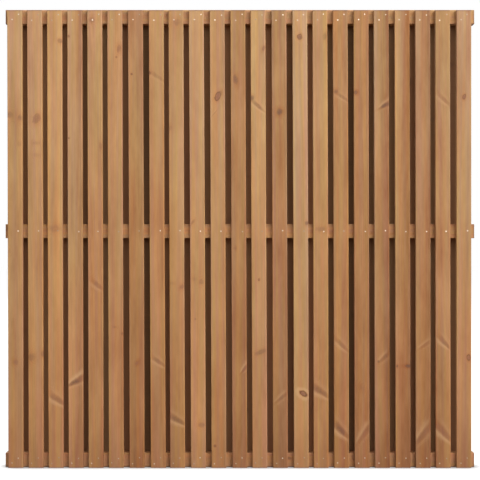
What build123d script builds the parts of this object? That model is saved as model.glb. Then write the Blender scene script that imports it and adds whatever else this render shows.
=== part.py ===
from build123d import *
import math
import os
import random

# Double-sided slatted fence panel: upright boards nailed to both faces of three horizontal rails.
# Each back board stands behind a gap between two front boards, so the panel can't be seen through.
# X runs along the rails, the front faces -Y and +Z is up, in millimetres.
# The origin is on the ground, under the middle of the panel.

# Boards
BOARD_LENGTH = 1752.0
BOARD_WIDTH = 57.0
BOARD_THICKNESS = 18.0
BOARD_ARRIS_RADIUS = 3.0  # the planed face's two long edges; the edges against the rails stay square
FRONT_BOARD_COUNT = 23
BOARD_GAP = 21.1
BOARD_TOP_INSET = 4.0  # of the boards' tops below the top rail's upper edge; their feet stand on the ground
BOARD_SHIFT = 2.0  # of all the boards to the left
BOARD_CROWDING = 4.0  # how much further left the boards lie about a third of the way along
BOARD_WANDER = 2.0  # a board lies up to this far to either side of its place
WANDER_SEED = 296432

# Rails
RAIL_HEIGHT = 54.0
RAIL_DEPTH = 45.0
RAIL_OVERHANG = 12.4  # past evenly spaced front boards, so that the rail ends meet the posts
RAIL_ARRIS_RADIUS = 2.0
MIDDLE_RAIL_RISE = 28.0  # of the middle rail's centre above half the panel's height

# Nails
NAIL_HEAD_WIDTH = 5.0
NAIL_HEAD_THICKNESS = 1.2
NAIL_HEAD_PROUD = 0.4
NAIL_SHANK_WIDTH = 2.4
NAIL_TIP_LENGTH = 4.0
NAIL_TIP_COVER = 18.0  # rail timber left behind the tip
NAIL_FROM_BOARD_EDGE = 16.0
NAIL_FROM_BOARD_END = 17.5
NAIL_SPACING = 20.0  # between a pair's heights
NAIL_WANDER = 2.0

# Worked out from the sizes above
BACK_BOARD_COUNT = FRONT_BOARD_COUNT - 1
BOARD_PITCH = BOARD_WIDTH + BOARD_GAP
RAIL_LENGTH = BACK_BOARD_COUNT * BOARD_PITCH + BOARD_WIDTH + 2 * RAIL_OVERHANG
FACE_DEPTH = RAIL_DEPTH / 2 + BOARD_THICKNESS  # from the panel's mid-plane to a board's face
NAIL_LENGTH = BOARD_THICKNESS + RAIL_DEPTH - NAIL_TIP_COVER
PANEL_HEIGHT = BOARD_LENGTH + BOARD_TOP_INSET
RAIL_CENTRES = {
    "top": PANEL_HEIGHT - RAIL_HEIGHT / 2,
    "middle": PANEL_HEIGHT / 2 + MIDDLE_RAIL_RISE,
    "bottom": RAIL_HEIGHT / 2,
}
# Each nail's place from the middle of its board to the right, as seen from its own side, and its height
TO_THE_RIGHT = BOARD_WIDTH / 2 - NAIL_FROM_BOARD_EDGE
NEAR_THE_TOP = BOARD_LENGTH - NAIL_FROM_BOARD_END
NEAR_THE_FOOT = NAIL_FROM_BOARD_END
NAILING = {
    "top": [(TO_THE_RIGHT, NEAR_THE_TOP), (-TO_THE_RIGHT, NEAR_THE_TOP - NAIL_SPACING)],
    "middle": [(TO_THE_RIGHT, RAIL_CENTRES["middle"])],
    "bottom": [(TO_THE_RIGHT, NEAR_THE_FOOT + NAIL_SPACING), (-TO_THE_RIGHT, NEAR_THE_FOOT)],
}


def make_board():
    """A board on the front of the rails, at the middle of the panel."""
    section = Rectangle(BOARD_WIDTH, BOARD_THICKNESS)
    face_corners = section.vertices().group_by(Axis.Y)[0]
    section = fillet(face_corners, BOARD_ARRIS_RADIUS)
    return Pos(Y=BOARD_THICKNESS / 2 - FACE_DEPTH) * extrude(section, BOARD_LENGTH)


def make_rail():
    """A rail with its four long edges rounded, centred on the origin."""
    section = RectangleRounded(RAIL_DEPTH, RAIL_HEIGHT, RAIL_ARRIS_RADIUS)
    return extrude(Plane.YZ * section, RAIL_LENGTH / 2, both=True)


def make_nail():
    """A nail driven into the front face, pointing along +Y. Head and shank are square, with few faces."""
    head_section = Rectangle(NAIL_HEAD_WIDTH, NAIL_HEAD_WIDTH)
    shank_section = Rectangle(NAIL_SHANK_WIDTH, NAIL_SHANK_WIDTH)
    head = Pos(Z=NAIL_HEAD_PROUD - NAIL_HEAD_THICKNESS) * extrude(head_section, NAIL_HEAD_THICKNESS)
    tip_start = NAIL_TIP_LENGTH - NAIL_LENGTH
    shank = Pos(Z=tip_start) * extrude(shank_section, -tip_start)
    tip = loft([Pos(Z=tip_start) * shank_section.face(), Vertex(0, 0, -NAIL_LENGTH)])
    return Pos(Y=-FACE_DEPTH) * Rot(X=90) * (head + shank + tip)


def spread(count, draw):
    """The boards' places along the panel: even spacing, crowded a little to the left, with some wander."""
    places = []
    for i in range(count):
        even = (i - (count - 1) / 2) * BOARD_PITCH
        from_right_end = 0.5 - even / RAIL_LENGTH
        crowding = BOARD_CROWDING * math.sin(math.pi * from_right_end**2)
        places.append(even - BOARD_SHIFT - crowding + draw.uniform(-BOARD_WANDER, BOARD_WANDER))
    return places


def nail_row(board_places, rail, turn, draw):
    """The nails that hold one side's boards to one rail, as separate solids."""
    nail = make_nail()
    nails = []
    for board_x in board_places:
        for across, height in NAILING[rail]:
            x = across + draw.uniform(-NAIL_WANDER, NAIL_WANDER)
            z = height + draw.uniform(-NAIL_WANDER, NAIL_WANDER)
            nails.append(Pos(X=board_x) * turn * Pos(X=x, Z=z) * nail)
    return Compound(children=nails)


def make_panel():
    """Every piece of the panel, by name."""
    draw = random.Random(WANDER_SEED)
    sides = {
        "front": (spread(FRONT_BOARD_COUNT, draw), Location()),
        "back": (spread(BACK_BOARD_COUNT, draw), Rot(Z=180)),
    }
    board = make_board()
    rail = make_rail()
    pieces = {f"{name}_rail": Pos(Z=height) * rail for name, height in RAIL_CENTRES.items()}
    for side, (places, turn) in sides.items():
        for number, x in enumerate(places, start=1):
            pieces[f"{side}_board_{number:02d}"] = Pos(X=x) * turn * board
        for name in RAIL_CENTRES:
            pieces[f"{side}_{name}_nails"] = nail_row(places, name, turn, draw)
    return pieces


os.makedirs("parts", exist_ok=True)
for piece_name, piece in make_panel().items():
    export_step(piece, f"parts/{piece_name}.step")
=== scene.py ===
import math
import random

import bpy
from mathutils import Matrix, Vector


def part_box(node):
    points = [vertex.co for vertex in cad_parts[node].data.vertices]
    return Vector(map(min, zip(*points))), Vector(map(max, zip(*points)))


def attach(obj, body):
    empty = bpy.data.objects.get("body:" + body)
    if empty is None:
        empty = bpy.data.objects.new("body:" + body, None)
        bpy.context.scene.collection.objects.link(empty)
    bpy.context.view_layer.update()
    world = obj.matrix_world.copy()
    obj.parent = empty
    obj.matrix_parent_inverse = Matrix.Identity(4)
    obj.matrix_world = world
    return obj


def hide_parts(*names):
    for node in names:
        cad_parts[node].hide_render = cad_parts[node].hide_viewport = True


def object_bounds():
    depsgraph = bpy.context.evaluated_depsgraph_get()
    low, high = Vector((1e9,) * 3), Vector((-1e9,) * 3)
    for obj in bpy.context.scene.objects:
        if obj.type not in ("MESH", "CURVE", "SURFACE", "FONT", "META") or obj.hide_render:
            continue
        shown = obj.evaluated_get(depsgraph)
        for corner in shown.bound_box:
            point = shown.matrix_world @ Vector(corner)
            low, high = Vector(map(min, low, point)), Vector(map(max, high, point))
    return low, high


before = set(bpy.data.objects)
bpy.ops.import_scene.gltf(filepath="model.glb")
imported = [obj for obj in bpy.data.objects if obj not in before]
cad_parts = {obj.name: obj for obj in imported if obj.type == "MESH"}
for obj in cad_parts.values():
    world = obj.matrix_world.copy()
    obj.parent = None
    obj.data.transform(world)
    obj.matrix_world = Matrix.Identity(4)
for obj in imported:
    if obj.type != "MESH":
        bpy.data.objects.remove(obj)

CAD_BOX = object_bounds()
MM = 0.001

# Camera: straight at the front, with the photograph's scale on the boards' face
PIXELS = 480
METRES_PER_PIXEL = 0.003826
PANEL_CENTRE_PIXEL = (239.9, 238.45)
CAMERA_DISTANCE = 4.5
SENSOR = 36.0

# Light: each lamp's place, watts and width; the strongest is high on the right. Each has a weaker twin
# behind the panel
LAMPS = {
    "right_lamp": ((7.0, -8.3, 6.0), 1275.0, 8.0),
    "front_lamp": ((0.9, -8.3, 4.3), 126.0, 3.2),
    "left_lamp": ((-4.4, -4.6, 3.9), 49.0, 3.2),
}
TWIN_SHARE = 0.75
LAMP_AIM = (0.0, 0.0, 0.9)

# Sky, brightest overhead, and floor
WHITE = (1.0, 1.0, 1.0)
SKY_LOW = 0.26
SKY_HIGH = 0.57
FLOOR_SIZE = 60.0
FLOOR_COLOUR = (0.090, 0.080, 0.070)
FLOOR_WHITE = (0.40, 0.40, 0.40)
FLOOR_GLOW = (0.80, 0.80, 0.80)
CONTACT_SHADOW = 0.05

# Timber colours: the stain runs from light to dark wood, and tints are multiplied in
LIGHT_WOOD = (0.629, 0.368, 0.174)
DARK_WOOD = (0.312, 0.133, 0.052)
GOLDEN_TINT = (1.045, 1.045, 0.90)
ROSY_TINT = (0.945, 0.94, 1.10)
OLIVE_TINT = (0.96, 1.03, 1.00)
RED_TINT = (1.04, 0.96, 0.98)
VIVID_TINT = (1.02, 1.0, 0.94)
GREY_TINT = (0.97, 1.0, 1.06)
HALO_TINT = (1.04, 0.93, 0.88)
# Painted shade: the wood deepens towards the foot, where the light falls off lower down
FOOT_SHADE_TINT = (0.91, 0.795, 0.72)
# Painted shade: the lowest part of the panel deepens further, near the ground
LOW_SHADE_TINT = (0.86, 0.83, 0.85)
PINK_HEART = (0.270, 0.120, 0.075)
GREY_HEART = (0.130, 0.074, 0.054)
KNOT_RIM = (0.085, 0.036, 0.022)
KNOT_FLAME = (0.700, 0.450, 0.235)
# Darker at a slat's ends, and painted contact shade along the ground
ENDS_AND_GROUND_SHADE_COLOUR = (0.190, 0.085, 0.042)
OLIVE_SAWN = (0.288, 0.182, 0.094)
RED_SAWN = (0.344, 0.171, 0.091)

# How much of the wood these colours cover
FLAME_SHARE = 0.72
PALE_RING_SHARE = 0.6
HEART_SHARE = 0.65
SPECK_SHARE = 0.30
RIM_SHARE = 0.75
GREY_RIM_LOSS = 0.6
# How much the dark ends and the painted ground shade cover
ENDS_AND_GROUND_SHADE_SHARE = 0.6
SAWN_SHARE = 0.5
SAW_MARK_SHARE = 0.5

# How deep the stain is, between 0 for light wood and 1 for dark, and what deepens it
STAIN = 0.42
TONE_STAIN = 0.20
SIDE_STAIN = 0.25
RING_STAIN = 0.09
HALO_STAIN = 0.18
# Paler worn edges on the boards, and deeper edges on the rails as painted shade
EDGE_WEAR_AND_SHADE = 0.28
CUT_STAIN = 0.25
SAWN_TONE = 0.32

# Streaks and fibres: lumps to the metre across and along the grain, and how much they deepen the stain
STREAKS = [
    (36.0, 0.4, 0.42), (90.0, 2.0, 0.11), (22.0, 3.5, 0.60), (70.0, 14.0, 0.32), (160.0, 40.0, 0.15),
    (250.0, 5.0, 0.10),
]
FIBRES = (700.0, 9.0, 0.12)
STREAK_ROUGHNESS = 0.35
# Streaks and patches of tint, of the boards' edge wear and of the rails' painted edge shade: lumps to the
# metre across and along the grain
TINT_STREAKS = (75.0, 0.9)
RED_STREAKS = (60.0, 1.7)
EDGE_MARK_PATCHES = (40.0, 9.0)
STREAK_EDGES = (0.3, 0.7)
# Other noise: lumps to the metre each way, and where it turns from one thing to the other
MEAN_NOISE = 0.5
RING_DRIFTS = (16.0, 16.0, 1.3)
SAW_MARKS = (12.0, 12.0, 420.0)
KNOT_WOBBLES = (90.0, 90.0, 50.0)
HEART_HUES = (9.0, 9.0, 9.0)
GREY_HEART_EDGES = (0.42, 0.58)
HEART_SPECKS = (230.0, 230.0, 150.0)
HEART_SPECK_EDGES = (0.3, 0.6)
STEEL_MOTTLE = (900.0, 900.0, 900.0)

# Timber surface: bump, the height of each kind of relief, roughness and gloss
RELIEF = 0.35
RELIEF_DEPTH = 0.0006
FIBRE_RELIEF = 0.5
LATE_WOOD_RELIEF = -0.6
HEART_RELIEF = 0.8
TIMBER_ROUGHNESS = 0.58
FIBRE_ROUGHNESS = 0.16
HEART_ROUGHNESS = -0.12
SAWN_ROUGHNESS = 0.20
TIMBER_GLOSS = 0.15

# Timber grain, in metres, and the dark late wood of a growth ring, in ring widths
RING_WIDTH = 0.0034
RING_WARP = 0.010
RINGS_ROUND_A_KNOT = 5.0
LATE_WOOD_START = (0.25, 0.90)
LATE_WOOD_END = (1.0, 0.93)
FAINTEST_RING = 0.25
PITH_DEPTHS = (0.025, 0.085)
PITH_ASIDE = 0.030
GRAIN_SLOPE = 0.012
LOG_LENGTH = 60.0
# The seed of all that is drawn by chance, and the range of the seeds that tell slats' rings apart
STOCK_SEED = 41
RING_SEEDS = 100.0

# Slats, in metres, and the number of steps along a slat and round an arris
BOW = 0.0009
LEAN = 0.0075
LEAN_SPREAD = 0.0010
FACE_ARRIS = 0.003
BACK_ARRIS = 0.0005
RAIL_ARRIS = 0.002
# How far in from a slat's edge the boards' wear and the rails' painted edge shade reach
EDGE_MARK_WIDTH = 0.007
# How far the dark ends and the painted ground shade reach
DARK_END = 0.006
# How high the painted shade near the ground reaches
LOW_SHADE_HEIGHT = 0.26
# How high the painted shade towards the foot reaches
FOOT_HEIGHT = 1.75
SLAT_STEPS = 90
ARRIS_STEPS = 4
# A rail's edges against a board's worn and paler ones: as this is negative, they are deeper, as painted
# shade
RAIL_EDGE_SHADE = -0.7
# The part of a face's normal along one axis, from which the face is no part of an arris
FLAT_ENOUGH = 0.995
# The boards' lean follows half a wave, which starts this far to the left of the panel, in panel widths
LEAN_START = 0.25
LEAN_SPAN = 1.3

# Parts of a knot: where they fade in or out, in the knot's half widths and half lengths
HEART_FULL = 0.4
HEART_END = 1.4
SPIKE_BLUR = 0.3
SPIKE_TAPER = 0.5
SPIKE_TIP = 0.4
KNOT_WOBBLE = 1.2
RIM_INSIDE = (0.65, 1.0)
RIM_OUTSIDE = (1.4, 1.0)
HALO_FADE = (3.0, 0.8)
FLAME_LEFT = (-0.3, -1.5)
FLAME_RIGHT = (0.5, 1.7)
RIGHT_FLAME_SHARE = 0.5
FLAME_FADE = (3.2, 1.2)
FLAME_ENDS = (2.0, 0.9)
PALE_RING_INSIDE = (1.2, 1.8)
PALE_RING_OUTSIDE = (3.4, 2.0)
# How strong a round knot is when it starts to have a rim or a pale ring, and when it has it fully
RIM_STRENGTH = (0.5, 1.0)
PALE_RING_STRENGTH = (0.8, 1.0)
# How many times longer than wide a knot may be before it is a spike
ROUND_KNOT = 2.0

# Timber that the photograph doesn't show: its tones, and its knots in metres, slanted in radians
HIDDEN_TONE = 1.3
HIDDEN_SIDE = 0.5
FIRST_KNOT = (0.08, 0.45)
KNOT_SPACING = (0.22, 0.62)
KNOT_SIZES = (0.004, 0.011)
KNOT_STRETCH = (0.9, 2.4)
KNOT_SLANT = 0.9
KNOT_STRENGTHS = (0.25, 0.75)
KNOT_SPREAD = 0.024
# Stands in where a slat has fewer than two knots: far away, and without strength
NO_KNOT = (9.0, 9.0, 1.0, 1.0, 0.0, 0.0)

# Nails, in metres, tilted in radians
NAIL_HEAD_RADIUS = 0.0026
NAIL_SHANK_RADIUS = 0.0012
NAIL_LENGTH = 0.044
NAIL_SIDES = 10
NAIL_TILT = 0.04
NAIL_SEED = 7
# How near together points are on one nail head, at one depth or in one place, in metres
SAME_NAIL = 0.010
SAME_DEPTH = 0.00001
SAME_POINT = 0.000002
# A nail's forms, in head radii, and its tip in shank radii
NAIL_CROWN = 0.7
NAIL_BEVEL = 0.15
NAIL_FLANGE = 0.2
NAIL_NECK = 0.3
NAIL_TIP = 3.0

# Nail steel
FRESH_STEEL = (0.90, 0.77, 0.62)
WORN_STEEL = (0.66, 0.53, 0.40)
DULL_STEEL = (0.42, 0.30, 0.20)
# Towards the ground the steel is duller, and darker as painted shade
FOOT_SHADE_AND_DULLNESS = 0.55
DULL_HEIGHT = 1.0
STEEL_METAL = 0.85
STEEL_ROUGHNESS = 0.30
MOTTLE_ROUGHNESS = 0.20
DULL_ROUGHNESS = 0.15

# How deep each front board's stain is, from the left, and each rail's: -1 is pale and 1 is dark
BOARD_TONES = [-0.35, -0.6, -1.0, -0.37, -0.3, -0.2, 0.8, 0.0, -0.3, -1.25, -0.4, 0.85,
               -1.05, 0.95, -1.45, -0.4, 0.55, 0.95, 1.1, 1.0, 1.1, 0.35, -0.05]
RAIL_TONES = {"top_rail": -0.1, "middle_rail": -0.5, "bottom_rail": -2.0}
# The front boards whose right side is deeper than their left, and by how much; where it is negative, the
# left side is deeper
DEEPER_SIDES = {4: 1.0, 9: -0.3, 13: -0.3, 19: 1.2, 20: 1.3, 21: 0.8, 22: -0.6}
# The front boards that are greyer than most, and by how much; a negative one is more vivid
GREYER_BOARDS = {1: 0.2, 3: -0.9, 4: 0.2, 5: -0.4, 7: -0.5, 8: -0.7, 9: -0.5, 14: 0.8, 15: 1.0, 16: -0.6,
                 17: -1.2, 18: -0.8, 19: 1.0, 20: -0.4, 22: 0.4, 23: 1.2}

# The knots in each front board that show in the photograph: height above the ground and distance to the
# right of the board's middle, half width and half length, all in millimetres, then the slant to the right
# in degrees, and how strong the knot is
BOARD_KNOTS = {
    1: [(1350, -19, 12, 12, 0, 0.40), (1339, 21, 9, 14, 0, 0.50), (1239, 17, 8, 9, 0, 0.2),
        (830, -21, 6, 10, 0, 0.25), (405, 2, 9, 9, 0, 0.6)],
    2: [(1337, 6, 12, 17, 25, 0.65), (1243, 5, 14, 7, 0, 0.25), (1197, 5, 14, 8, 0, 0.22),
        (424, -14, 14, 14, 0, 0.45), (436, 27, 6, 10, 0, 0.65)],
    3: [(1633, 21, 8, 8, -30, 0.65), (918, 0, 26, 14, 0, 0.40), (260, 10, 10, 32, -55, 0.60)],
    4: [(1652, -23, 3, 4, 0, 0.8), (1262, -23, 3, 3, 0, 0.7), (331, 0, 9, 32, 60, 0.80)],
    5: [(1714, -11, 12, 10, 0, 0.35), (1232, 23, 6, 12, 0, 0.36), (700, 8, 8, 22, -50, 0.48)],
    6: [(1603, 16, 7, 14, 5, 0.6), (1572, 7, 3, 3, 0, 0.7), (539, -4, 8, 4, 0, 0.25),
        (514, 25, 4, 4, 0, 0.6)],
    7: [(1507, -15, 3, 3, 0, 0.8), (401, 2, 9, 6, -60, 0.6)],
    8: [(1511, -25, 4, 5, 0, 0.8), (1500, 0, 7, 28, -55, 0.24), (405, 5, 7, 24, -55, 0.48)],
    9: [(1706, 5, 13, 12, 0, 0.45), (1300, -21, 6, 10, 0, 0.32), (707, -17, 8, 6, 0, 0.25),
        (692, 18, 9, 7, -60, 0.55), (186, -4, 10, 32, -60, 0.55)],
    10: [(941, -17, 5, 12, 40, 0.45), (711, 14, 10, 10, 0, 0.35), (723, -13, 8, 8, 0, 0.25),
         (570, -9, 4, 4, 0, 0.3), (164, 14, 12, 10, 0, 0.5)],
    11: [(1423, 2, 9, 18, 28, 0.85), (1355, -14, 2, 16, 40, 0.32), (84, -15, 4, 4, 0, 0.85)],
    12: [(1486, -10, 8, 17, -5, 0.75), (841, -12, 4, 6, 0, 0.4), (382, 22, 6, 18, 40, 0.6)],
    13: [(1605, 21, 5, 9, 25, 0.65), (1415, -24, 8, 9, 0, 0.65), (1385, 0, 6, 30, -48, 0.48),
         (720, 0, 3, 4, 0, 0.8), (443, 5, 22, 8, -25, 0.45)],
    14: [(1363, 0, 11, 11, -60, 0.7), (267, 3, 6, 24, 50, 0.32)],
    15: [(1649, 0, 8, 9, -30, 0.85), (937, 24, 7, 9, 30, 0.55), (284, 8, 8, 12, -55, 1.0)],
    16: [(1652, 18, 8, 14, 0, 0.3), (914, 0, 20, 9, 0, 0.4), (294, -4, 11, 34, -55, 0.55)],
    17: [(1440, -17, 9, 8, 0, 0.55), (1420, 6, 6, 24, -55, 0.32), (470, 2, 7, 26, -45, 0.40),
         (146, -4, 11, 36, -45, 0.60)],
    18: [(1437, -22, 6, 6, 0, 0.8), (306, 0, 7, 14, -40, 0.24), (132, 10, 9, 34, 35, 0.40),
         (108, -10, 3, 3, 0, 0.6), (107, 8, 3, 3, 0, 0.5)],
    19: [(1388, 13, 7, 19, 58, 0.72), (420, 5, 7, 20, 45, 0.40), (407, -14, 4, 4, 0, 0.7)],
    20: [(390, -22, 4, 5, 0, 0.8), (390, 20, 12, 5, 0, 0.8)],
    21: [(470, 6, 6, 20, 55, 0.32), (128, 0, 11, 38, 38, 0.45)],
    22: [(1411, 3, 7, 24, -45, 0.40), (482, 3, 8, 25, -42, 0.56), (135, 2, 11, 38, -42, 0.60)],
    23: [(1420, 1, 6, 8, 25, 0.82), (422, 18, 7, 10, 0, 0.85)],
}


class Wire:
    """A node's output socket. Sums on wires are written as Python expressions and become Math nodes."""

    def __init__(self, bench, socket):
        self.bench = bench
        self.socket = socket

    def output(self, name):
        """Another output of the same node."""
        return Wire(self.bench, self.socket.node.outputs[name])

    def __add__(self, other):
        return self.bench.sum("ADD", self, other)

    def __radd__(self, other):
        return self.bench.sum("ADD", other, self)

    def __sub__(self, other):
        return self.bench.sum("SUBTRACT", self, other)

    def __rsub__(self, other):
        return self.bench.sum("SUBTRACT", other, self)

    def __mul__(self, other):
        return self.bench.sum("MULTIPLY", self, other)

    def __rmul__(self, other):
        return self.bench.sum("MULTIPLY", other, self)

    def __truediv__(self, other):
        return self.bench.sum("DIVIDE", self, other)

    def __rtruediv__(self, other):
        return self.bench.sum("DIVIDE", other, self)


class Bench:
    """Adds nodes to one node tree."""

    def __init__(self, tree):
        self.tree = tree

    def add(self, kind, settings=None, sockets=None):
        """A node of that kind, its settings made first, then its sockets given values or wires."""
        node = self.tree.nodes.new(kind)
        for name, value in (settings or {}).items():
            setattr(node, name, value)
        for key, value in (sockets or {}).items():
            socket = self.find(node.inputs, key)
            for item in value if isinstance(value, list) else [value]:
                if isinstance(item, Wire):
                    self.tree.links.new(item.socket, socket)
                else:
                    socket.default_value = item
        shown = [socket for socket in node.outputs if socket.enabled]
        return Wire(self, shown[0]) if shown else None

    @staticmethod
    def find(sockets, key):
        """The socket of that number, identifier or name."""
        if isinstance(key, int):
            return sockets[key]
        by_identifier = [socket for socket in sockets if socket.identifier == key]
        by_name = [socket for socket in sockets if socket.name == key and socket.enabled]
        return (by_identifier or by_name)[0]

    def sum(self, operation, *values):
        """A Math node on one or two values."""
        return self.add("ShaderNodeMath", {"operation": operation}, dict(enumerate(values)))

    def step(self, value, low, high):
        """0 at low, 1 at high and smooth in between; low may be the larger of the two."""
        return self.add("ShaderNodeMapRange", {"interpolation_type": "SMOOTHSTEP", "clamp": True},
                        {"Value": value, "From Min": low, "From Max": high})

    def noise(self, vector, scales, detail=2.0, rough=0.5):
        """Smooth noise between 0 and 1, with that many lumps to the metre each way."""
        stretched = self.add("ShaderNodeVectorMath", {"operation": "MULTIPLY"}, {0: vector, 1: scales})
        return self.add("ShaderNodeTexNoise", {"noise_dimensions": "3D"},
                        {"Vector": stretched, "Scale": 1.0, "Detail": detail, "Roughness": rough})

    def chance(self, seed):
        """A number by chance between 0 and 1, another for each seed."""
        return self.add("ShaderNodeTexWhiteNoise", {"noise_dimensions": "1D"}, {"W": seed})

    def streaks(self, grain, scales):
        """Streaks or patches between 0 and 1, with that many to the metre across and along the grain."""
        across, along = scales
        return self.step(self.noise(grain, (across, across, along)), *STREAK_EDGES)

    def attribute(self, name, output="Vector"):
        """What the mesh has written at this point."""
        return self.add("ShaderNodeAttribute", {"attribute_name": name}).output(output)

    def vector(self, **numbers):
        """A vector from its numbers."""
        return self.add("ShaderNodeCombineXYZ", {}, numbers)

    def split(self, vector):
        """The three numbers of a vector."""
        first = self.add("ShaderNodeSeparateXYZ", {}, {"Vector": vector})
        return first, first.output("Y"), first.output("Z")

    def blend(self, share, first, second, how="MIX"):
        """A mix of two colours."""
        return self.add("ShaderNodeMix", {"data_type": "RGBA", "blend_type": how, "clamp_factor": True},
                        {"Factor_Float": share, "A_Color": opaque(first), "B_Color": opaque(second)})

    def brighten(self, colour, factor):
        """A colour times a number."""
        return self.add("ShaderNodeVectorMath", {"operation": "SCALE"}, {0: colour, "Scale": factor})

    def write(self, geometry, kind, domain, values):
        """Writes named values on each point or face of a mesh."""
        for name, value in values.items():
            geometry = self.add("GeometryNodeStoreNamedAttribute", {"data_type": kind, "domain": domain},
                                {"Geometry": geometry, "Name": name, "Value": value})
        return geometry


def opaque(colour):
    """A written colour with its alpha; a wire stays as it is."""
    return colour if isinstance(colour, Wire) else (*colour, 1.0)


def new_material(name):
    """An empty material and its bench."""
    material = bpy.data.materials.new(name)
    material.use_nodes = True
    material.node_tree.nodes.clear()
    return material, Bench(material.node_tree)


def knot_marks(b, name, wobble):
    """How far a point is in a knot's heart, its dark rim, the grain bent round it and its pale flame."""
    across, along, strength = b.split(b.attribute(name))
    spike = b.attribute(name + "_spike", "Fac")
    roundness = strength - spike
    across = across / b.sum("MAXIMUM", 1.0 + SPIKE_TAPER * along * spike, SPIKE_TIP)
    distance = b.sum("SQRT", across * across + along * along) + wobble

    heart = b.step(distance, HEART_END + SPIKE_BLUR * spike, HEART_FULL - SPIKE_BLUR * spike) * strength
    rim = b.step(distance, *RIM_INSIDE) * b.step(distance, *RIM_OUTSIDE)
    rim = rim * b.step(roundness, *RIM_STRENGTH)
    halo = b.step(distance, *HALO_FADE) * strength
    beside = b.step(across, *FLAME_LEFT) + RIGHT_FLAME_SHARE * b.step(across, *FLAME_RIGHT)
    lengthways = b.step(b.sum("ABSOLUTE", along), *FLAME_ENDS)
    flame = beside * b.step(distance, *FLAME_FADE) * lengthways * spike
    pale_ring = b.step(distance, *PALE_RING_INSIDE) * b.step(distance, *PALE_RING_OUTSIDE)
    pale_ring = pale_ring * b.step(roundness, *PALE_RING_STRENGTH)
    return heart, rim, halo, flame + PALE_RING_SHARE * pale_ring


def nearest_knots(b, grain):
    """The same for the two knots nearest to a point together."""
    wobble = (b.noise(grain, KNOT_WOBBLES) - MEAN_NOISE) * KNOT_WOBBLE
    marks = zip(knot_marks(b, "knot_a", wobble), knot_marks(b, "knot_b", wobble))
    return [b.sum("MAXIMUM", nearest, second) for nearest, second in marks]


def late_wood(b, grain, halo, seed):
    """The dark part of the growth rings about the pith; some are fainter, and they bend round knots."""
    x, y, _ = b.split(grain)
    warp = b.noise(grain, RING_DRIFTS, detail=1.0)
    bend = (warp - MEAN_NOISE) * RING_WARP + halo * (RINGS_ROUND_A_KNOT * RING_WIDTH)
    ring = (b.sum("SQRT", x * x + y * y) + bend) / RING_WIDTH
    phase = b.sum("FRACT", ring)
    depth = FAINTEST_RING + (1.0 - FAINTEST_RING) * b.chance(b.sum("FLOOR", ring) + seed)
    return b.step(phase, *LATE_WOOD_START) * b.step(phase, *LATE_WOOD_END) * depth


def stain_depth(b, grain, tone, deeper_side):
    """How deep the stain is by the slat's own tone, its deeper side, streaks, worn board edges, rail edges
    deepened as painted shade, and cut ends.
    """
    half_width, _, edge_wear_and_shade = b.split(b.attribute("measure"))
    aside = b.split(b.attribute("spot"))[0]
    stain = STAIN + tone * TONE_STAIN + deeper_side * SIDE_STAIN * aside / half_width
    for across, along, share in STREAKS:
        streak = b.noise(grain, (across, across, along), rough=STREAK_ROUGHNESS)
        stain = stain + (streak - MEAN_NOISE) * share
    # Worn, paler edges on boards; on rails, where the share is negative, painted shade
    near_edge = b.step(b.sum("ABSOLUTE", aside), half_width - EDGE_MARK_WIDTH, half_width)
    edge_wear_and_shade = edge_wear_and_shade * near_edge * b.streaks(grain, EDGE_MARK_PATCHES)
    return stain - edge_wear_and_shade * EDGE_WEAR_AND_SHADE + b.attribute("cut", "Fac") * CUT_STAIN


def tinted(b, colour, grain, halo, height):
    """The stained wood with streaks of other hues and the slat's greyness, darker towards the foot as
    painted shade.
    """
    greyness = b.attribute("greyness", "Fac")
    tints = [
        (1.0, b.blend(b.streaks(grain, TINT_STREAKS), GOLDEN_TINT, ROSY_TINT)),
        (1.0, b.blend(b.streaks(grain, RED_STREAKS), OLIVE_TINT, RED_TINT)),
        (1.0, b.blend((1.0 + greyness) / 2.0, VIVID_TINT, GREY_TINT)),
        (halo, HALO_TINT),
        # Painted shade towards the ground: over the lower panel, and more over its lowest part
        (b.step(height, FOOT_HEIGHT, 0.0), FOOT_SHADE_TINT),
        (b.step(height, LOW_SHADE_HEIGHT, 0.0), LOW_SHADE_TINT),
    ]
    for share, tint in tints:
        colour = b.blend(share, colour, tint, "MULTIPLY")
    return colour


def knotted(b, colour, grain, heart, rim, flame):
    """The wood with the knots' pale flames, their pink or grey hearts and their dark rims."""
    grey = b.step(b.noise(grain, HEART_HUES, detail=0.0), *GREY_HEART_EDGES)
    speck = b.step(b.noise(grain, HEART_SPECKS, detail=1.0), *HEART_SPECK_EDGES)
    heart_colour = b.blend(grey, PINK_HEART, GREY_HEART)
    colour = b.blend(flame * FLAME_SHARE, colour, KNOT_FLAME)
    colour = b.blend(heart * (HEART_SHARE + SPECK_SHARE * speck), colour, heart_colour)
    return b.blend(rim * (1.0 - GREY_RIM_LOSS * grey) * RIM_SHARE, colour, KNOT_RIM)


def ends_and_ground_shade(b, height):
    """1 at a slat's ends and, as painted contact shade, at the ground, and 0 a little way off."""
    length = b.split(b.attribute("measure"))[1]
    along = b.split(b.attribute("spot"))[2]
    nearest_end = b.sum("MINIMUM", along, length - along)
    return b.step(b.sum("MINIMUM", nearest_end, height), DARK_END, 0.0)


def sawn_wood(b, tone, seed):
    """The colour of rough sawn timber: each slat has its own hue, and its own tone."""
    return b.brighten(b.blend(b.chance(seed), OLIVE_SAWN, RED_SAWN), 1.0 - SAWN_TONE * tone)


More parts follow.
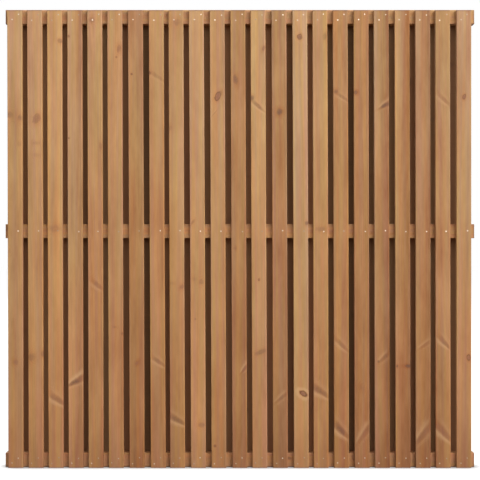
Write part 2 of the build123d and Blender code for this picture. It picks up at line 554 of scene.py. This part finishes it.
def planed_timber():
    """Knotty softwood, planed and stained honey brown, and rough sawn where a face is marked so."""
    material, b = new_material("planed_timber")
    grain = b.attribute("grain")
    tone, deeper_side, seed = b.split(b.attribute("tone"))
    height = b.split(b.add("ShaderNodeTexCoord").output("Object"))[2]
    heart, rim, halo, flame = nearest_knots(b, grain)
    late = late_wood(b, grain, halo, seed)
    across, along, fibre_stain = FIBRES
    fibre = b.noise(grain, (across, across, along), rough=STREAK_ROUGHNESS)
    sawn = b.attribute("sawn", "Fac")
    saw_marks = b.noise(grain, SAW_MARKS)

    stain = stain_depth(b, grain, tone, deeper_side) + late * RING_STAIN + halo * HALO_STAIN
    stain = stain + (fibre - MEAN_NOISE) * fibre_stain
    colour = tinted(b, b.blend(stain, LIGHT_WOOD, DARK_WOOD), grain, halo, height)
    colour = knotted(b, colour, grain, heart, rim, flame)
    # Darker at the ends, and painted contact shade along the ground
    colour = b.blend(ends_and_ground_shade(b, height) * ENDS_AND_GROUND_SHADE_SHARE, colour, ENDS_AND_GROUND_SHADE_COLOUR)
    colour = b.blend(sawn * (SAWN_SHARE + SAW_MARK_SHARE * saw_marks), colour, sawn_wood(b, tone, seed))

    bumps = fibre * FIBRE_RELIEF + late * LATE_WOOD_RELIEF + heart * HEART_RELIEF + sawn * saw_marks
    relief = b.add("ShaderNodeBump", {}, {"Strength": RELIEF, "Distance": RELIEF_DEPTH, "Height": bumps})
    roughness = TIMBER_ROUGHNESS + fibre * FIBRE_ROUGHNESS
    roughness = roughness + heart * HEART_ROUGHNESS + sawn * SAWN_ROUGHNESS
    shader = b.add("ShaderNodeBsdfPrincipled", {}, {
        "Base Color": colour, "Roughness": roughness, "Specular IOR Level": TIMBER_GLOSS,
        "Normal": relief})
    b.add("ShaderNodeOutputMaterial", {}, {"Surface": shader})
    return material


def bright_steel():
    """Galvanised nail steel: mottled, duller on some nails than on others, and darker and duller near the
    ground, the darkening painted shade.
    """
    material, b = new_material("bright_steel")
    place = b.add("ShaderNodeTexCoord").output("Object")
    mottle = b.noise(place, STEEL_MOTTLE, detail=3.0)
    # Near the ground: rougher, and darker as painted shade
    near_foot = b.step(b.split(place)[2], DULL_HEIGHT, 0.0)
    dull = b.attribute("dullness", "Fac") + FOOT_SHADE_AND_DULLNESS * near_foot
    bright = b.blend(mottle, FRESH_STEEL, WORN_STEEL)
    shader = b.add("ShaderNodeBsdfPrincipled", {}, {
        "Base Color": b.blend(dull, bright, DULL_STEEL), "Metallic": STEEL_METAL,
        "Roughness": STEEL_ROUGHNESS + MOTTLE_ROUGHNESS * mottle + DULL_ROUGHNESS * dull})
    b.add("ShaderNodeOutputMaterial", {}, {"Surface": shader})
    return material


def new_tree(name, inputs):
    """A geometry tree with named inputs: its bench, and the wires of its inputs."""
    tree = bpy.data.node_groups.new(name, "GeometryNodeTree")
    tree.interface.new_socket("Geometry", in_out="INPUT", socket_type="NodeSocketGeometry")
    for label, kind in inputs.items():
        tree.interface.new_socket(label, in_out="INPUT", socket_type="NodeSocket" + kind)
    tree.interface.new_socket("Geometry", in_out="OUTPUT", socket_type="NodeSocketGeometry")
    bench = Bench(tree)
    first = bench.add("NodeGroupInput")
    return bench, {label: first.output(label) for label in ["Geometry", *inputs]}


def end_tree(b, geometry, material):
    """Makes instances real, gives the finish and ends the tree."""
    real = b.add("GeometryNodeRealizeInstances", {}, {"Geometry": geometry})
    finished = b.add("GeometryNodeSetMaterial", {}, {"Geometry": real, "Material": material})
    b.add("NodeGroupOutput", {}, {"Geometry": finished})
    return b.tree


def run_tree(tree, name, values, points=((0.0, 0.0, 0.0),)):
    """A plain mesh object that the tree makes from points."""
    start = bpy.data.meshes.new(name + "_points")
    start.from_pydata(points, [], [])
    piece = bpy.data.objects.new(name, start)
    bpy.context.scene.collection.objects.link(piece)
    modifier = piece.modifiers.new("tree", "NODES")
    modifier.node_group = tree
    for item in tree.interface.items_tree:
        if item.in_out == "INPUT" and item.name in values:
            modifier[item.identifier] = values[item.name]
    mesh = bpy.data.meshes.new_from_object(piece.evaluated_get(bpy.context.evaluated_depsgraph_get()))
    piece.modifiers.remove(modifier)
    piece.data = mesh
    bpy.data.meshes.remove(start)
    mesh.name = name
    return piece


def rounded_bar(b, given):
    """A bar along Z with rounded arrises, those of its planed face, towards -Y, apart from the others."""
    line = b.add("GeometryNodeCurvePrimitiveLine", {"mode": "POINTS"}, {
        "End": b.vector(Z=given["Length"])})
    spine = b.add("GeometryNodeResampleCurve", {"mode": "COUNT"}, {
        "Curve": line, "Count": given["Steps"]})
    section = b.add("GeometryNodeCurvePrimitiveQuadrilateral", {"mode": "RECTANGLE"}, {
        "Width": given["Width"], "Height": given["Thickness"]})
    behind = b.sum("GREATER_THAN", b.split(b.add("GeometryNodeInputPosition"))[1], 0.0)
    radius = given["Face Arris"] + behind * (given["Back Arris"] - given["Face Arris"])
    rounded = b.add("GeometryNodeFilletCurve", {"mode": "POLY"}, {
        "Curve": section, "Count": given["Arris Steps"], "Radius": radius})
    return b.add("GeometryNodeCurveToMesh", {}, {
        "Curve": spine, "Profile Curve": rounded, "Fill Caps": True})


def mark_faces(b, bar, given):
    """Shades the arrises smooth, and writes which faces are cut ends and which are rough sawn."""
    normal = b.split(b.add("GeometryNodeInputNormal"))
    across, deep, along = [b.sum("ABSOLUTE", number) for number in normal]
    flat = b.sum("GREATER_THAN", b.sum("MAXIMUM", b.sum("MAXIMUM", across, deep), along), FLAT_ENOUGH)
    bar = b.add("GeometryNodeSetShadeSmooth", {"domain": "FACE"}, {
        "Geometry": bar, "Shade Smooth": 1.0 - flat})
    return b.write(bar, "FLOAT", "FACE", {
        "cut": b.sum("GREATER_THAN", along, FLAT_ENOUGH),
        "sawn": b.sum("GREATER_THAN", normal[1], FLAT_ENOUGH) * given["Sawn"],
        "greyness": given["Greyness"]})


def mark_points(b, bar, given):
    """Writes each point's place in the slat and in its log, and the slat's tone and sizes."""
    spot = b.add("GeometryNodeInputPosition")
    x, y, z = b.split(spot)
    pith_x, pith_y, log_start = b.split(given["Pith"])
    slope_x, slope_y, _ = b.split(given["Slope"])
    return b.write(bar, "FLOAT_VECTOR", "POINT", {
        "spot": spot,
        "grain": b.vector(X=x + pith_x + slope_x * z, Y=y + pith_y + slope_y * z, Z=z + log_start),
        "tone": given["Tone"],
        "measure": b.vector(X=given["Width"] / 2.0, Y=given["Length"], Z=given["Edge Wear And Shade"])})


def slat_tree():
    """A length of timber along Z, its planed face towards -Y, then bent, turned and put in its place."""
    b, given = new_tree("slat", {
        "Length": "Float", "Width": "Float", "Thickness": "Float", "Face Arris": "Float",
        "Back Arris": "Float", "Bow": "Float", "Lean": "Float", "Steps": "Int", "Arris Steps": "Int",
        "Place": "Vector", "Turn": "Vector", "Pith": "Vector", "Slope": "Vector", "Tone": "Vector",
        "Sawn": "Float", "Edge Wear And Shade": "Float", "Greyness": "Float", "Timber": "Material"})
    bar = mark_points(b, mark_faces(b, rounded_bar(b, given), given), given)
    share = b.split(b.add("GeometryNodeInputPosition"))[2] / given["Length"]
    sideways = given["Bow"] * b.sum("SINE", share * math.pi) + given["Lean"] * (share - 0.5)
    bar = b.add("GeometryNodeSetPosition", {}, {"Geometry": bar, "Offset": b.vector(X=sideways)})
    turn = b.add("FunctionNodeEulerToRotation", {}, {"Euler": given["Turn"]})
    placed = {"Geometry": bar, "Translation": given["Place"], "Rotation": turn}
    return end_tree(b, b.add("GeometryNodeTransform", {}, placed), given["Timber"])


def nail_shell(b, given):
    """One round nail, head up: a bevelled head, a neck, a shank and a tip, as one shell."""
    head, shank, sides = given["Head Radius"], given["Shank Radius"], given["Sides"]
    shares = (NAIL_CROWN, NAIL_BEVEL, NAIL_FLANGE, NAIL_NECK)
    crown, bevel, flange, neck = [head * share for share in shares]
    tip = shank * NAIL_TIP
    straight = given["Length"] - bevel - flange - neck - tip
    levels = [(bevel, crown, head), (flange, head, head), (neck, head, shank), (straight, shank, shank),
              (tip, shank, 0.0)]
    shells = [b.add("GeometryNodeMeshCircle", {"fill_type": "NGON"}, {
        "Vertices": sides, "Radius": crown})]
    depth = 0.0
    for drop, upper, lower in levels:
        depth = depth + drop
        cone = b.add("GeometryNodeMeshCone", {"fill_type": "NONE"}, {
            "Vertices": sides, "Radius Top": upper, "Radius Bottom": lower, "Depth": drop})
        sunk = {"Geometry": cone, "Translation": b.vector(Z=0.0 - depth)}
        shells.append(b.add("GeometryNodeTransform", {}, sunk))
    joined = b.add("GeometryNodeJoinGeometry", {}, {"Geometry": shells})
    return b.add("GeometryNodeMergeByDistance", {}, {"Geometry": joined, "Distance": SAME_POINT})


def nail_tree():
    """A round nail at each point, its head outwards and a little tilted, some duller than others."""
    b, given = new_tree("nail", {
        "Head Radius": "Float", "Shank Radius": "Float", "Length": "Float", "Sides": "Int",
        "Outward": "Vector", "Tilt": "Float", "Seed": "Int", "Steel": "Material"})
    tilt = given["Tilt"]
    least, most = b.vector(X=0.0 - tilt, Y=0.0 - tilt), b.vector(X=tilt, Y=tilt, Z=math.tau)
    spin = b.add("FunctionNodeRandomValue", {"data_type": "FLOAT_VECTOR"}, {
        0: least, 1: most, "Seed": given["Seed"]})
    outward = b.add("FunctionNodeAlignRotationToVector", {"axis": "Z"}, {"Vector": given["Outward"]})
    turn = b.add("FunctionNodeRotateRotation", {"rotation_space": "LOCAL"}, {
        "Rotation": outward, "Rotate By": b.add("FunctionNodeEulerToRotation", {}, {"Euler": spin})})
    dullness = b.add("FunctionNodeRandomValue", {"data_type": "FLOAT"}, {"Seed": given["Seed"] + 1.0})
    points = b.write(given["Geometry"], "FLOAT", "POINT", {"dullness": dullness})
    nails = b.add("GeometryNodeInstanceOnPoints", {}, {
        "Points": points, "Instance": nail_shell(b, given), "Rotation": turn})
    return end_tree(b, nails, given["Steel"])


def slat_knots(node, stock):
    """A front board's knots as the photograph shows them, in metres; other timber has some by chance."""
    if node.startswith("front_board"):
        return [(up * MM, right * MM, wide * MM, long * MM, math.radians(slant), strength)
                for up, right, wide, long, slant, strength in BOARD_KNOTS[int(node[-2:])]]
    low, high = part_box(node)
    knots = []
    height = stock.uniform(*FIRST_KNOT)
    while height < max(high - low):
        size = stock.uniform(*KNOT_SIZES)
        aside = stock.uniform(-KNOT_SPREAD, KNOT_SPREAD)
        half_long = size * stock.uniform(*KNOT_STRETCH)
        slant = stock.uniform(-KNOT_SLANT, KNOT_SLANT)
        knots.append((height, aside, size, half_long, slant, stock.uniform(*KNOT_STRENGTHS)))
        height += stock.uniform(*KNOT_SPACING)
    return knots


def knot_place(spot, knot):
    """A spot's place across and along a knot, in the knot's half widths and lengths, and its strength."""
    height, right, half_wide, half_long, slant, strength = knot
    aside, above = spot[0] - right, spot[2] - height
    across = aside * math.cos(slant) - above * math.sin(slant)
    along = aside * math.sin(slant) + above * math.cos(slant)
    return across / half_wide, along / half_long, strength


def knot_spike(knot):
    """How far a knot is a long spike with a pale flame beside it: not at all for a round one."""
    _, _, half_wide, half_long, _, strength = knot
    return strength * min(max(half_long / half_wide - ROUND_KNOT, 0.0), 1.0)


def mark_knots(mesh, knots):
    """Writes at each face corner its place from the face's two nearest knots, and their spikes."""
    spots = [item.vector.copy() for item in mesh.attributes["spot"].data]
    places = {"knot_a": [], "knot_b": []}
    spikes = {"knot_a": [], "knot_b": []}
    for face in mesh.polygons:
        corners = [spots[index] for index in face.vertices]
        middle = sum(corners, Vector()) / len(corners)
        nearest = sorted(knots, key=lambda knot: math.hypot(*knot_place(middle, knot)[:2]))
        for name, knot in zip(places, [*nearest, NO_KNOT, NO_KNOT]):
            for spot in corners:
                places[name].extend(knot_place(spot, knot))
            spikes[name].extend([knot_spike(knot)] * len(corners))
    for name in places:
        mesh.attributes.new(name, "FLOAT_VECTOR", "CORNER").data.foreach_set("vector", places[name])
        mesh.attributes.new(name + "_spike", "FLOAT", "CORNER").data.foreach_set("value", spikes[name])


def draw_timber(stock):
    """A slat by chance: its place in its log, its grain's slope, its bow and lean, and its tone."""
    return {
        "Pith": (stock.uniform(-PITH_ASIDE, PITH_ASIDE),
                 stock.choice((-1, 1)) * stock.uniform(*PITH_DEPTHS),
                 stock.uniform(0.0, LOG_LENGTH)),
        "Slope": (stock.uniform(-GRAIN_SLOPE, GRAIN_SLOPE),
                  stock.uniform(-GRAIN_SLOPE, GRAIN_SLOPE), 0.0),
        "Bow": stock.uniform(-BOW, BOW),
        "Lean": stock.uniform(-LEAN_SPREAD, LEAN_SPREAD),
        "Tone": (stock.uniform(-HIDDEN_TONE, HIDDEN_TONE), stock.uniform(-HIDDEN_SIDE, HIDDEN_SIDE),
                 stock.uniform(0.0, RING_SEEDS))}


def make_slat(tree, node, timber, stock):
    """The planed timber that stands for a board or a rail."""
    low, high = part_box(node)
    middle, size = (low + high) / 2, high - low
    values = draw_timber(stock)
    values.update({"Steps": SLAT_STEPS, "Arris Steps": ARRIS_STEPS, "Thickness": size.y,
                   "Timber": timber})
    tone, deeper_side, seed = values["Tone"]
    if node.startswith("front_board"):
        number = int(node[-2:])
        tone, deeper_side = BOARD_TONES[number - 1], DEEPER_SIDES.get(number, 0.0)
        values["Greyness"] = GREYER_BOARDS.get(number, 0.0)
    values["Tone"] = (RAIL_TONES.get(node, tone), deeper_side, seed)
    # A rail's edges take painted shade where a board's take wear
    if node.endswith("rail"):
        values.update({"Length": size.x, "Width": size.z, "Place": (low.x, middle.y, middle.z),
                       "Turn": (0.0, math.pi / 2, 0.0), "Face Arris": RAIL_ARRIS,
                       "Back Arris": RAIL_ARRIS, "Bow": 0.0, "Lean": 0.0, "Sawn": 0.0,
                       "Edge Wear And Shade": RAIL_EDGE_SHADE})
    else:
        from_left = (middle.x - CAD_BOX[0].x) / (CAD_BOX[1].x - CAD_BOX[0].x)
        facing = 0.0 if middle.y < 0 else math.pi
        leftwards = -1.0 if middle.y < 0 else 1.0
        values["Lean"] += leftwards * LEAN * math.sin(math.pi * (from_left + LEAN_START) / LEAN_SPAN)
        values.update({"Length": size.z, "Width": size.x, "Place": (middle.x, middle.y, low.z),
                       "Turn": (0.0, 0.0, facing), "Face Arris": FACE_ARRIS, "Back Arris": BACK_ARRIS,
                       "Sawn": 1.0, "Edge Wear And Shade": 1.0})
    piece = run_tree(tree, node + "_timber", values)
    mark_knots(piece.data, slat_knots(node, stock))
    return piece


def nail_places(node):
    """The middle of each nail's head, read from the node's outermost points, and the way out."""
    low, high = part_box(node)
    side = -1.0 if low.y + high.y < 0 else 1.0
    outermost = max(abs(low.y), abs(high.y))
    heads = []
    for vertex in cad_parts[node].data.vertices:
        if abs(vertex.co.y) > outermost - SAME_DEPTH:
            near = [head for head in heads if (head[0] - vertex.co).length < SAME_NAIL]
            if near:
                near[0].append(vertex.co.copy())
            else:
                heads.append([vertex.co.copy()])
    return [sum(head, Vector()) / len(head) for head in heads], Vector((0.0, side, 0.0))


def make_nails(tree, node, steel):
    """The round nails that stand for a node of nails."""
    places, outward = nail_places(node)
    values = {"Head Radius": NAIL_HEAD_RADIUS, "Shank Radius": NAIL_SHANK_RADIUS, "Length": NAIL_LENGTH,
              "Sides": NAIL_SIDES, "Outward": outward, "Tilt": NAIL_TILT, "Seed": NAIL_SEED,
              "Steel": steel}
    return run_tree(tree, node + "_steel", values, places)


def dress(piece, node, slot):
    """The piece rides with the panel and stands for the node."""
    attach(piece, "root")
    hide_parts(node)


def make_panel():
    """Every board, rail and nail of the panel."""
    stock = random.Random(STOCK_SEED)
    timber, steel = planed_timber(), bright_steel()
    slats, nails = slat_tree(), nail_tree()
    for node in sorted(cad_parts):
        if node.endswith("nails"):
            dress(make_nails(nails, node, steel), node, "nails")
        elif node.endswith("rail"):
            dress(make_slat(slats, node, timber, stock), node, "rails")
        else:
            dress(make_slat(slats, node, timber, stock), node, node.split("_")[0] + "_boards")


def seen_share(b):
    """1 for rays that show the background, straight, mirrored or through glass, and 0 for others."""
    path = b.add("ShaderNodeLightPath")
    shown = path.output("Is Camera Ray") + path.output("Is Glossy Ray")
    shown = shown + path.output("Is Transmission Ray")
    return b.sum("MINIMUM", shown, 1.0)


def make_sky():
    """A pale sky, white where it shows."""
    world = bpy.data.worlds.new("sky")
    world.use_nodes = True
    world.node_tree.nodes.clear()
    b = Bench(world.node_tree)
    up = b.split(b.add("ShaderNodeTexCoord").output("Generated"))[2]
    strength = SKY_LOW + b.step(up, 0.0, 1.0) * (SKY_HIGH - SKY_LOW)
    light = b.add("ShaderNodeBackground", {}, {"Color": b.brighten(WHITE, strength), "Strength": 1.0})
    white = b.add("ShaderNodeBackground", {}, {"Color": opaque(WHITE), "Strength": 1.0})
    mixed = b.add("ShaderNodeMixShader", {}, {0: seen_share(b), 1: light, 2: white})
    b.add("ShaderNodeOutputWorld", {}, {"Surface": mixed})
    bpy.context.scene.world = world


def make_floor():
    """A wide pale floor that keeps the panel's shadow."""
    material, b = new_material("pale_floor")
    matt = b.add("ShaderNodeBsdfDiffuse", {}, {"Color": opaque(FLOOR_COLOUR)})
    pale = b.add("ShaderNodeBsdfDiffuse", {}, {"Color": opaque(FLOOR_WHITE)})
    open_sky = b.add("ShaderNodeAmbientOcclusion", {}, {"Distance": CONTACT_SHADOW}).output("AO")
    glow_colour = b.brighten(FLOOR_GLOW, open_sky * open_sky)
    glow = b.add("ShaderNodeEmission", {}, {"Color": glow_colour, "Strength": 1.0})
    white = b.add("ShaderNodeAddShader", {}, {0: pale, 1: glow})
    mixed = b.add("ShaderNodeMixShader", {}, {0: seen_share(b), 1: matt, 2: white})
    b.add("ShaderNodeOutputMaterial", {}, {"Surface": mixed})
    half = FLOOR_SIZE / 2
    corners = [(-half, -half, 0.0), (half, -half, 0.0), (half, half, 0.0), (-half, half, 0.0)]
    mesh = bpy.data.meshes.new("floor")
    mesh.from_pydata(corners, [], [(0, 1, 2, 3)])
    mesh.materials.append(material)
    floor = bpy.data.objects.new("floor", mesh)
    bpy.context.scene.collection.objects.link(floor)


def make_lamp(name, place, watts, size):
    """A square soft lamp, turned towards the panel."""
    data = bpy.data.lights.new(name, "AREA")
    data.shape = "SQUARE"
    data.size = size
    data.energy = watts
    lamp = bpy.data.objects.new(name, data)
    lamp.location = place
    lamp.rotation_euler = (Vector(LAMP_AIM) - Vector(place)).to_track_quat("-Z", "Y").to_euler()
    bpy.context.scene.collection.objects.link(lamp)


def make_camera():
    """The photograph's view: level, square to the panel's front."""
    low, high = CAD_BOX
    data = bpy.data.cameras.new("camera")
    data.sensor_width = SENSOR
    data.lens = SENSOR * CAMERA_DISTANCE / (PIXELS * METRES_PER_PIXEL)
    camera = bpy.data.objects.new("camera", data)
    aside, above = [(pixel - PIXELS / 2) * METRES_PER_PIXEL for pixel in PANEL_CENTRE_PIXEL]
    across, up = (low.x + high.x) / 2 - aside, (low.z + high.z) / 2 + above
    camera.location = (across, low.y - CAMERA_DISTANCE, up)
    camera.rotation_euler = (math.pi / 2, 0.0, 0.0)
    bpy.context.scene.collection.objects.link(camera)
    bpy.context.scene.camera = camera


make_panel()
make_sky()
make_floor()
for lamp_name, ((right, back, up), lamp_watts, lamp_size) in LAMPS.items():
    make_lamp(lamp_name, (right, back, up), lamp_watts, lamp_size)
    make_lamp(lamp_name + "_twin", (-right, -back, up), lamp_watts * TWIN_SHARE, lamp_size)
make_camera()
bpy.context.scene.view_settings.view_transform = "Standard"
